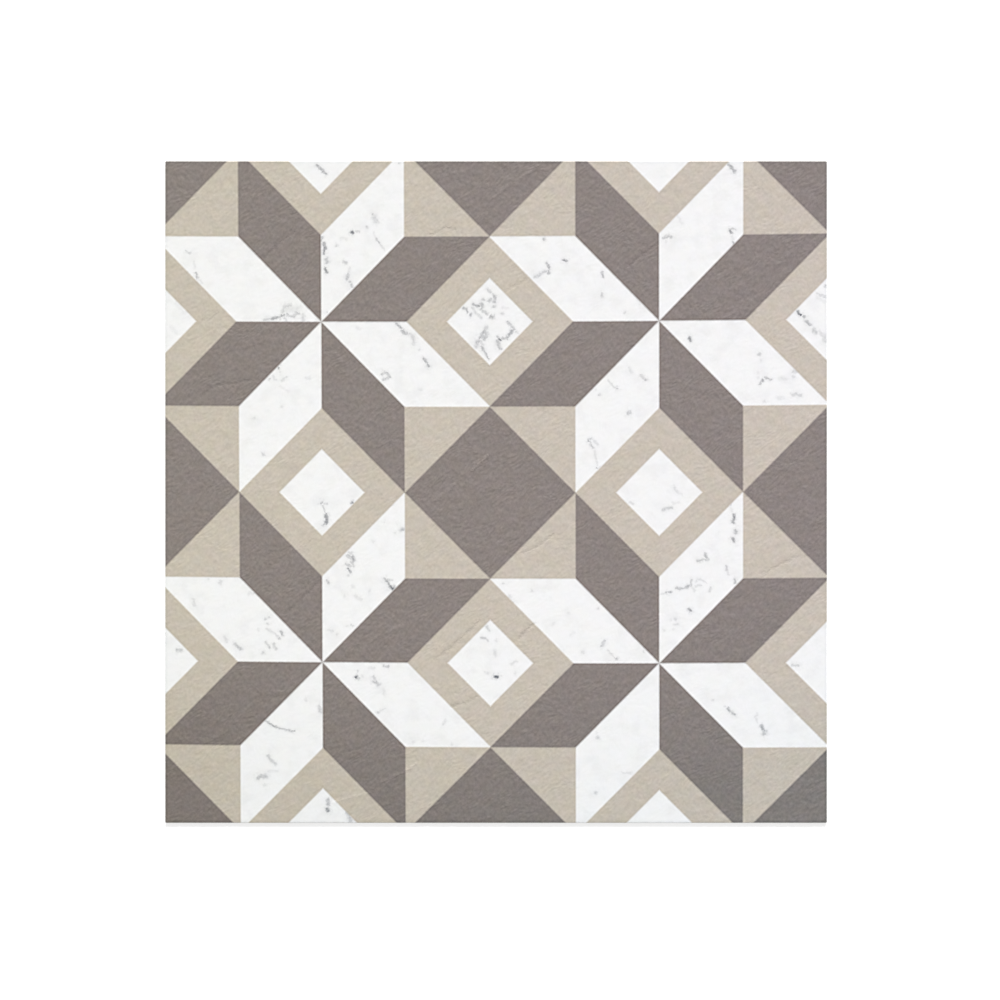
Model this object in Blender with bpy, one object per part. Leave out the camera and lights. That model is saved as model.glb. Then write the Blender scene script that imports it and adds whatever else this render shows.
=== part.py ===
# Vinyl floor tile: one square punched from printed sheet vinyl, lying on its back.
# Metres, +Z up. The origin is the centre of the underside, and +Y is the top of the pattern.
#
# The wear face is printed with eight-pointed stars whose points are dark and white by turns.
# Framed diamonds stand between two stars, and a plain dark square stands between four.
# The print's outlines are cut into the wear face, so each printed field has faces of its own.

import math

import bmesh
import bpy
from mathutils import Matrix, Vector

# The punched blank
TILE_WIDTH = 0.3048  # along X
TILE_LENGTH = 0.3048  # along Y
TILE_THICKNESS = 0.0015
CORNER_RADIUS = 0.0004  # the die's corners, seen from above
ARRIS_RADIUS = 0.0002  # the punch rolls the upper edge over and leaves the lower one sharp
ARC_STEPS = 4  # facets on each rounded edge

# The print, which repeats once in each pitch
STAR_PITCH_X = 0.1554
STAR_PITCH_Y = 0.1572
PRINT_SHIFT_X = -0.0026  # from the tile's centre to the middle of four stars
PRINT_SHIFT_Y = 0.0

# Printed colours, and the bare filled vinyl of the back and cut edge, as linear values
TAUPE = (0.266, 0.231, 0.216)
BEIGE = (0.597, 0.533, 0.451)
WHITE = (0.913, 0.913, 0.913)
BARE_VINYL = (0.558, 0.533, 0.491)

# The tile's material slots, in order
TAUPE_FIELD, BEIGE_FIELD, WHITE_FIELD, BARE = range(4)


def vinyl(name, colour, roughness):
    """One finish of the tile."""
    material = bpy.data.materials.new(name)
    material.use_nodes = True
    shader = material.node_tree.nodes["Principled BSDF"]
    shader.inputs["Base Color"].default_value = (*colour, 1.0)
    shader.inputs["Roughness"].default_value = roughness
    shader.inputs["Metallic"].default_value = 0.0
    material.diffuse_color = (*colour, 1.0)
    return material


def round_over(tile, edges, radius):
    """Rounds edges to a radius, or to what their faces leave room for."""
    bmesh.ops.bevel(
        tile,
        geom=edges,
        offset=radius,
        offset_type="OFFSET",
        segments=ARC_STEPS,
        profile=0.5,
        affect="EDGES",
        clamp_overlap=True,
        material=-1,
    )


def punch_blank(tile):
    """A thin slab on its back, with rounded corners and a rolled upper edge."""
    bmesh.ops.create_cube(tile, size=1.0)
    size = Matrix.Diagonal((TILE_WIDTH, TILE_LENGTH, TILE_THICKNESS, 1.0))
    lift = Matrix.Translation((0.0, 0.0, TILE_THICKNESS / 2))
    bmesh.ops.transform(tile, matrix=lift @ size, verts=tile.verts)
    upright = [e for e in tile.edges if e.verts[0].co.z != e.verts[1].co.z]
    round_over(tile, upright, CORNER_RADIUS)
    wear_face = max(tile.faces, key=lambda face: face.calc_center_median().z)
    round_over(tile, list(wear_face.edges), ARRIS_RADIUS)


def star_centre():
    """The star up and to the right of the middle of the print."""
    return Vector((PRINT_SHIFT_X + STAR_PITCH_X / 2, PRINT_SHIFT_Y + STAR_PITCH_Y / 2, 0.0))


def from_star(point):
    """A place in quarter pitches from its own star's centre, each number from -2 to 2."""
    away = point - star_centre()
    u, v = away.x / (STAR_PITCH_X / 4), away.y / (STAR_PITCH_Y / 4)
    return (u + 2) % 4 - 2, (v + 2) % 4 - 2


def printed_lines():
    """The lines of the print: a, b and c of a * u + b * v = c, in quarter pitches from a star."""
    reach = math.ceil((TILE_WIDTH / STAR_PITCH_X + TILE_LENGTH / STAR_PITCH_Y) / 2) + 1
    for star in range(-reach, reach + 1):
        for offset in (-1, 0, 1):  # through a star's centre, and past the ends of its points
            yield 1, 0, 4 * star + offset
            yield 0, 1, 4 * star + offset
        for offset in (-1, 0, 1, 1.5, 2.5):  # the same, and the two sides of a white diamond
            yield 1, 1, 4 * star + offset
            yield 1, -1, 4 * star + offset


def looks_up(face):
    """Whether a face takes the print: the wear face and the rolled edge round it do."""
    return face.normal.z > 0.01


def cut_fields(tile):
    """Cuts the printed faces along each line of the print."""
    for a, b, c in printed_lines():
        across = Vector((a / (STAR_PITCH_X / 4), b / (STAR_PITCH_Y / 4), 0.0))
        faces = [face for face in tile.faces if looks_up(face)]
        edges = {edge for face in faces for edge in face.edges}
        corners = {corner for face in faces for corner in face.verts}
        bmesh.ops.bisect_plane(
            tile,
            geom=[*faces, *edges, *corners],
            dist=1e-6,
            plane_co=star_centre() + across * (c / across.length_squared),
            plane_no=across,
        )


def printed_field(u, v):
    """The field that is printed at a place, in quarter pitches from its star."""
    across, along = abs(u), abs(v)
    if (2 - across) + (2 - along) < 1:
        return TAUPE_FIELD  # the square between four stars
    from_diamond = min((2 - across) + along, across + (2 - along))
    if from_diamond < 0.5:
        return WHITE_FIELD  # the diamond between two stars
    if from_diamond < 1:
        return BEIGE_FIELD  # its frame
    if across > 1 and along > 1:
        return BEIGE_FIELD  # the corner between two points of a star and the dark square
    point = math.degrees(math.atan2(v, u)) % 360 // 45
    return TAUPE_FIELD if point % 2 == 0 else WHITE_FIELD


def main():
    for old in list(bpy.data.objects):
        bpy.data.objects.remove(old, do_unlink=True)
    tile = bmesh.new()
    punch_blank(tile)
    tile.normal_update()
    cut_fields(tile)
    for face in tile.faces:
        place = from_star(face.calc_center_median())
        face.material_index = printed_field(*place) if looks_up(face) else BARE
    mesh = bpy.data.meshes.new("vinyl_tile")
    tile.to_mesh(mesh)
    tile.free()
    mesh.materials.append(vinyl("taupe_print", TAUPE, 0.5))
    mesh.materials.append(vinyl("beige_print", BEIGE, 0.5))
    mesh.materials.append(vinyl("white_marble_print", WHITE, 0.45))
    mesh.materials.append(vinyl("bare_vinyl", BARE_VINYL, 0.65))
    mesh.shade_smooth()
    mesh.set_sharp_from_angle(angle=math.radians(30))
    collection = bpy.data.collections.new("vinyl_floor_tile")
    bpy.context.scene.collection.children.link(collection)
    collection.objects.link(bpy.data.objects.new("vinyl_tile", mesh))


main()
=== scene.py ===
# Vinyl floor tile: the printed, embossed wear face and the punched edge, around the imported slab.
import math

import bmesh
import bpy
import numpy as np
from mathutils import Matrix, Vector, noise


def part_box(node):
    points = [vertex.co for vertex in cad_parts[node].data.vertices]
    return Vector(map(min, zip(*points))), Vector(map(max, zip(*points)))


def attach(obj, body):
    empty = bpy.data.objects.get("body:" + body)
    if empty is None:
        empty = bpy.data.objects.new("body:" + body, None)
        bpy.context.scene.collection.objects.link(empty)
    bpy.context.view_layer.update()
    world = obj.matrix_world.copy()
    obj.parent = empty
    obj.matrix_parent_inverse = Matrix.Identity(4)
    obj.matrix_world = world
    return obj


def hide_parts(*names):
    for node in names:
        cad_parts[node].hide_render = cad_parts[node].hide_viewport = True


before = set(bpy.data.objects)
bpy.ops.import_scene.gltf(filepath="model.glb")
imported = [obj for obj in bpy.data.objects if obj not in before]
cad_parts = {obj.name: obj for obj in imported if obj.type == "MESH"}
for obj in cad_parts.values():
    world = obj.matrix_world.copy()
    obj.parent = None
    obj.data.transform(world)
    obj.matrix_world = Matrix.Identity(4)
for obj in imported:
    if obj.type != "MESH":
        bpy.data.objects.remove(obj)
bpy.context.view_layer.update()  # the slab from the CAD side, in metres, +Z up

slabLow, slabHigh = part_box("vinyl_tile")
scene = bpy.context.scene
scene.view_settings.view_transform = "Standard"

mm = 0.001
noiseSpan = {"From Min": 0.3, "From Max": 0.7}  # nearly all of a noise texture's values lie in here
easing = {"interpolation_type": "SMOOTHSTEP"}  # a map range that starts and ends gently


def linear(hexColour):
    # sRGB hex to the linear values that a shader wants
    parts = [int(hexColour[i:i + 2], 16) / 255 for i in (1, 3, 5)]
    return [p / 12.92 if p <= 0.04045 else ((p + 0.055) / 1.055) ** 2.4 for p in parts] + [1.0]


def addNode(tree, kind, settings=None, inputs=None):
    # settings are a dictionary or the name of an operation, and a list of inputs fills the first sockets;
    # an input is a value, a socket, or a node whose first output is meant
    node = tree.nodes.new(kind)
    if isinstance(settings, str):
        settings = {"operation": settings}
    if isinstance(inputs, list):
        inputs = dict(enumerate(inputs))
    for name, value in (settings or {}).items():
        setattr(node, name, value)
    for socket, value in (inputs or {}).items():
        if isinstance(value, bpy.types.Node):
            value = value.outputs[0]
        if isinstance(value, bpy.types.NodeSocket):
            tree.links.new(value, node.inputs[socket])
        else:
            node.inputs[socket].default_value = value
    return node


# The camera looks straight down, a little off the tile's middle as in the photograph
camera = {
    "lens": 110.0,  # mm, long enough to look flat
    "sensor": 36.0,
    "viewWidth": 460.6 * mm,  # what the frame spans at the wear face
    "aim": (1.8 * mm, -3.7 * mm),
}

# Places that were read off the photograph are in its pixels, and onTile turns them to metres
photo = {
    "width": 1000,
    "tileCentre": (496.1, 491.95),
}
photo["pixel"] = camera["viewWidth"] / photo["width"]  # what one of its pixels spans


def onTile(point):
    return np.array((
        (point[0] - photo["tileCentre"][0]) * photo["pixel"],
        (photo["tileCentre"][1] - point[1]) * photo["pixel"],
    ))


def placeCamera():
    data = bpy.data.cameras.new("camera")
    data.lens = camera["lens"]
    data.sensor_width = camera["sensor"]
    lookingDown = bpy.data.objects.new("camera", data)
    height = camera["viewWidth"] * camera["lens"] / camera["sensor"]
    lookingDown.location = (*camera["aim"], slabHigh.z + height)
    scene.collection.objects.link(lookingDown)
    scene.camera = lookingDown


# One soft lamp stands low and far past the tile's top edge and rakes the emboss, in an even white room
studio = {
    "roomStrength": 0.45,  # as a light; what is seen or mirrored of the room is plain white
    "lampStrength": 4.13,  # W/m2
    "lampSpread": 20.0,  # degrees across, as the tile sees it
    "lampSide": (0.2, 2.1, 1.0),  # which way it stands from the tile
    "floorColour": "#f4f4f4",
    "floorLift": 0.47,  # added where the camera sees the floor, so that it shows as white paper
    "floorRoughness": 0.9,
    "floorHalf": 3.0,  # metres, from its middle to its sides
    "floorDrop": 0.05 * mm,  # the floor lies this far under the tile, or their faces would fight
    "floorHole": 2.0 * mm,  # from the tile's edge in, the floor is open, so its back shows from below
}


def lightStudio():
    world = bpy.data.worlds.new("studio")
    scene.world = world
    world.use_nodes = True
    tree = world.node_tree
    tree.nodes.clear()
    path = addNode(tree, "ShaderNodeLightPath")
    seen = addNode(tree, "ShaderNodeMath", {"operation": "ADD", "use_clamp": True},
                   [path.outputs["Is Camera Ray"], path.outputs["Is Glossy Ray"]])
    seen = addNode(tree, "ShaderNodeMath", {"operation": "ADD", "use_clamp": True},
                   [seen, path.outputs["Is Transmission Ray"]])
    strength = addNode(tree, "ShaderNodeMapRange", None,
                       {"Value": seen, "To Min": studio["roomStrength"], "To Max": 1.0})
    room = addNode(tree, "ShaderNodeBackground", None, {"Color": (1, 1, 1, 1), "Strength": strength})
    addNode(tree, "ShaderNodeOutputWorld", None, {"Surface": room})

    lamp = bpy.data.lights.new("softLamp", "SUN")
    lamp.energy = studio["lampStrength"]
    lamp.angle = math.radians(studio["lampSpread"])
    holder = bpy.data.objects.new("softLamp", lamp)
    holder.location = studio["lampSide"]
    holder.rotation_euler = holder.location.to_track_quat("Z", "Y").to_euler()
    scene.collection.objects.link(holder)


def layFloor():
    paper = bpy.data.materials.new("whiteStudioPaper")
    paper.use_nodes = True
    tree = paper.node_tree
    shader = tree.nodes["Principled BSDF"]
    shader.inputs["Base Color"].default_value = linear(studio["floorColour"])
    shader.inputs["Roughness"].default_value = studio["floorRoughness"]
    shader.inputs["Specular IOR Level"].default_value = 0.0
    shader.inputs["Emission Color"].default_value = (1, 1, 1, 1)
    path = addNode(tree, "ShaderNodeLightPath")
    lift = addNode(tree, "ShaderNodeMath", "MULTIPLY", [path.outputs["Is Camera Ray"], studio["floorLift"]])
    tree.links.new(lift.outputs[0], shader.inputs["Emission Strength"])
    sheet = bmesh.new()
    low = Matrix.Translation((0.0, 0.0, slabLow.z - studio["floorDrop"]))
    bmesh.ops.create_grid(sheet, x_segments=1, y_segments=1, size=studio["floorHalf"], matrix=low)
    hole = sheet.faces[:]
    bmesh.ops.inset_individual(
        sheet,
        faces=hole,
        thickness=studio["floorHalf"] - min(slabHigh.x, slabHigh.y) + studio["floorHole"],
        use_even_offset=True,
    )
    bmesh.ops.delete(sheet, geom=hole, context="FACES")
    mesh = bpy.data.meshes.new("floor")
    sheet.to_mesh(mesh)
    sheet.free()
    mesh.materials.append(paper)
    floor = bpy.data.objects.new("floor", mesh)
    scene.collection.objects.link(floor)


# The print repeats once in each pitch. Stars stand in squares, with a framed diamond between each two
# of them and a dark square, which reaches the sides of the stars' squares, between each four.
pattern = {
    "starCentre": (74.9 * mm, 78.25 * mm),  # the star up and to the right of the middle
    "pitch": (155.4 * mm, 157.2 * mm),
    "starHalf": (38.35 * mm, 39.0 * mm),  # from a star's centre to the sides of its square
    "frameHalf": (38.3 * mm, 38.8 * mm),  # from a frame's centre to its corners
    "diamondShare": 0.514,  # the white diamond's size in its frame
    "taupe": "#837a76",
    "beige": "#c5bcaf",
    "white": "#f4f4f4",
    "inkEdge": 1.25 * mm,  # how soft the borders between the inks are
    "rim": 2.6 * mm,  # each ink is a shade stronger this near to its border
    "rimStrength": 0.6,
    "bottomShade": (-32 * mm, 0.045),  # painted shade: below this line every ink is darker, by this much at the bottom edge
    "bottomShadeRise": 36 * mm,  # the line is this much higher at the sides
    # how much the painted shade takes of red, green and blue at the left edge and at the right edge
    "bottomShadeTints": ((1.1, 0.98, 0.94), (1.05, 0.58, 0.56)),
    "cutShade": (1.4 * mm, 0.8 * mm, 0.038),  # painted shade beside the cut, which also dims the lit rolled edge: from here, fully from there, how much
    "cutTint": (1.1, 0.91, 0.88),  # how much that takes of red, green and blue
}
# The print was stretched a little unevenly: how far it has strayed to the right and up where both of
# these shares of the tile are 1
pattern["drift"] = {
    ("whole", "up"): (-0.3 * mm, 0.1 * mm),
    ("across", "across"): (0.95 * mm, 0.7 * mm),
    ("across", "up"): (0.5 * mm, 0.85 * mm),
    ("up", "up"): (0.0, 0.75 * mm),
}
pattern["halfPitch"] = [pitch / 2 for pitch in pattern["pitch"]]
pattern["squareHalf"] = [a - b for a, b in zip(pattern["halfPitch"], pattern["starHalf"])]
pattern["unit"] = sum(pattern["starHalf"]) / 2
pattern["slant"] = math.sqrt(0.5)  # a step across a slanting border, as a share of one along an axis
pattern["inks"] = ("taupe", "beige", "white")

# The print starts as plain white. Past each border lies a field of another ink: what is measured, its
# value at the border, how fast it rises there, and the ink.
pattern["borders"] = (
    ("point", 0.0, 1.0, "taupe"),  # four of a star's points
    ("least", 1.0, 1.0, "beige"),  # the corners of its square
    ("frame", 0.0, 1 / pattern["slant"], "beige"),
    ("frame", 1 - pattern["diamondShare"], 1 / pattern["slant"], "white"),
    ("square", sum(half / side for half, side in zip(pattern["halfPitch"], pattern["squareHalf"])) - 1,
     1 / pattern["slant"], "taupe"),
)


def inkShares(x, y, soft):
    # how much of each ink lies at each place of two arrays, with borders as soft as this
    share = {"whole": 1.0, "across": x / slab["halfWidth"], "up": y / slab["halfLength"]}
    for (first, second), (right, up) in pattern["drift"].items():
        x = x - share[first] * share[second] * right
        y = y - share[first] * share[second] * up
    starHalf, frameHalf, squareHalf = pattern["starHalf"], pattern["frameHalf"], pattern["squareHalf"]
    halfPitch = pattern["halfPitch"]
    near = [(value - centre + half) % (2 * half) - half
            for value, centre, half in zip((x, y), pattern["starCentre"], halfPitch)]
    size = np.abs(near)
    across, along = size[0] / starHalf[0], size[1] / starHalf[1]
    least = np.minimum(across, along)
    lean = size[0] / frameHalf[0] - size[1] / frameHalf[1]
    fold = {
        "least": least,
        "point": np.sign(near[0] * near[1] * (across - along))
        * np.minimum(least, pattern["slant"] * np.abs(across - along)),
        "frame": 1 - np.minimum(halfPitch[0] / frameHalf[0] - lean, halfPitch[1] / frameHalf[1] + lean),
        "square": size[0] / squareHalf[0] + size[1] / squareHalf[1],
    }
    shares = {ink: np.full(len(x), float(ink == "white")) for ink in pattern["inks"]}
    for measure, border, steep, inkPast in pattern["borders"]:
        past = np.clip(0.5 + (fold[measure] - border) * pattern["unit"] / (soft * steep), 0, 1)
        for ink in shares:
            shares[ink] += past * ((ink == inkPast) - shares[ink])
    return shares


# The slab's outline: its sizes come from the frame, its rounded edges repeat the punched blank's
slab = {
    "halfWidth": (slabHigh.x - slabLow.x) / 2,
    "halfLength": (slabHigh.y - slabLow.y) / 2,
    "cornerRadius": 0.4 * mm,
    "arris": 0.2 * mm,  # radius of the rolled upper edge
    "arcSteps": 4,  # facets from the wear face round to the side
    "cornerCuts": 4,  # facets on each corner, seen from above
    "weld": 0.02 * mm,  # corners of the mesh nearer than this are one
    "onCut": 0.0001 * mm,  # what is nearer than this to a cut lies on it
    "printedFrom": 0.01,  # a face whose normal rises more than this is printed
    "sharpFrom": 40.0,  # degrees
}

# The emboss: pressed in like riven slate, its grain rising to the right
emboss = {
    "grainAngle": 52.0,  # degrees from +X
    "turnAlongY": 9.0,  # how much steeper it is at the top edge than in the middle
    "turnAlongX": -4.0,
    "sway": (11.0 * mm, 3.2 * mm),  # the grain bends to either side: over what length, and how far
    "step": 1.06 * mm,  # mesh spacing
    "ripple": (3.6 * mm, 2.1 * mm, 0.15 * mm),  # length, width and height of the streaks
    "fineRipple": (2.6 * mm, 1.7 * mm, 0.08 * mm),
    "cleft": (34.0 * mm, 9.0 * mm, 0.08 * mm),  # broad split layers
    "patch": 42.0 * mm,  # size of the rougher and the calmer patches
    "calmest": 0.45,  # the streaks' height in the calmest patches, to which the roughest add 1
    # where each of them is cut from the noise, so that no two run alike
    "slices": {"ripple": 0.0, "fineRipple": 3.7, "patch": 5.1, "cleft": 9.3, "sway": 12.9},
    "depths": {"taupe": 1.0, "beige": 0.65, "white": 0.2},  # how deep the relief is in each ink's fields
    "depthEdge": 2.5 * mm,  # the depth changes this gently at the borders
    "creaseWidth": 1.5 * mm,
    "creaseLine": (1.1 * mm, 0.8),  # the sharp line in it: its width, and the painted shade for each mm of depth, a painted highlight on a ridge
    "grain": (2.2 * mm, 1.4 * mm),  # length and width of the finest streaks, which are bump
    "grainHeight": 0.22 * mm,
    "grainDepths": {"taupe": 1.0, "beige": 0.6, "white": 0.2},
}

# The sharper creases: depth in millimetres, or minus the height of a ridge, then the places that it passes
emboss["creases"] = {
    "topLeft": [
        (0.09, (264, 259), (278, 244), (294, 232)),
        (0.07, (201, 397), (210, 388), (221, 384), (236, 383), (251, 380)),
        (0.06, (203, 320), (210, 319), (218, 313)),
        (0.07, (430, 235), (438, 232), (445, 228), (455, 230)),
    ],
    "topRight": [
        (-0.06, (490, 200), (510, 185), (538, 166)),
        (0.06, (506, 291), (518, 284), (527, 279)),
        (0.08, (626, 268), (642, 255), (658, 243)),
    ],
    "middle": [
        (-0.08, (434, 501), (441, 496), (448, 491), (454, 485)),
        (-0.12, (472, 471), (480, 463), (488, 456)),
    ],
    "bottomLeft": [
        (-0.06, (208, 742), (226, 732)),
        (-0.06, (233, 742), (251, 733)),
        (-0.06, (273, 692), (291, 691)),
        (0.07, (282, 617), (299, 601), (319, 583)),
        (-0.06, (368, 643), (385, 633), (402, 625)),
        (0.08, (435, 660), (455, 644), (480, 621)),
        (0.07, (452, 707), (468, 702), (476, 697)),
        (-0.05, (334, 802), (352, 797), (372, 792)),
        (-0.08, (382, 782), (400, 774), (416, 764)),
    ],
    "bottomRight": [
        (0.11, (519, 639), (528, 629), (534, 624)),
        (0.08, (524, 553), (540, 545), (553, 535)),
        (0.08, (762, 574), (778, 566), (796, 557)),
    ],
}

# The marble print's marks, field by field: ink, breadth in millimetres, then the places that a stroke passes
marble = {
    "wobble": 0.7 * mm,  # how far the strokes stray, and over what length
    "wobbleSize": 1.6 * mm,
    "reach": 4.0 * mm,  # a stroke is drawn no further than this from its own line
    "swell": (0.7, 1.4),  # it thins and swells along its way, between these shares of its breadth
    "core": (2.1, 0.1),  # its core starts at the first of these and is full at the second, in half breadths
    "bloom": (4.0, 0.8),  # and so does the faint bloom around it
    "grit": 0.9 * mm,  # size of the breaks in the core and of the crumbs in the bloom
    "breaks": (0.36, 0.62, 0.75, 1.15),  # the grit between the first two gives the core the last two
    "crumbs": (0.42, 0.7, 0.06, 0.3),  # and the same in the bloom
    "strength": 0.8,  # how dark a mark with an ink of 1 is
    "markTint": (1.01, 1.0, 0.975),  # the marks are a cool grey, so they take less blue
}
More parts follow.
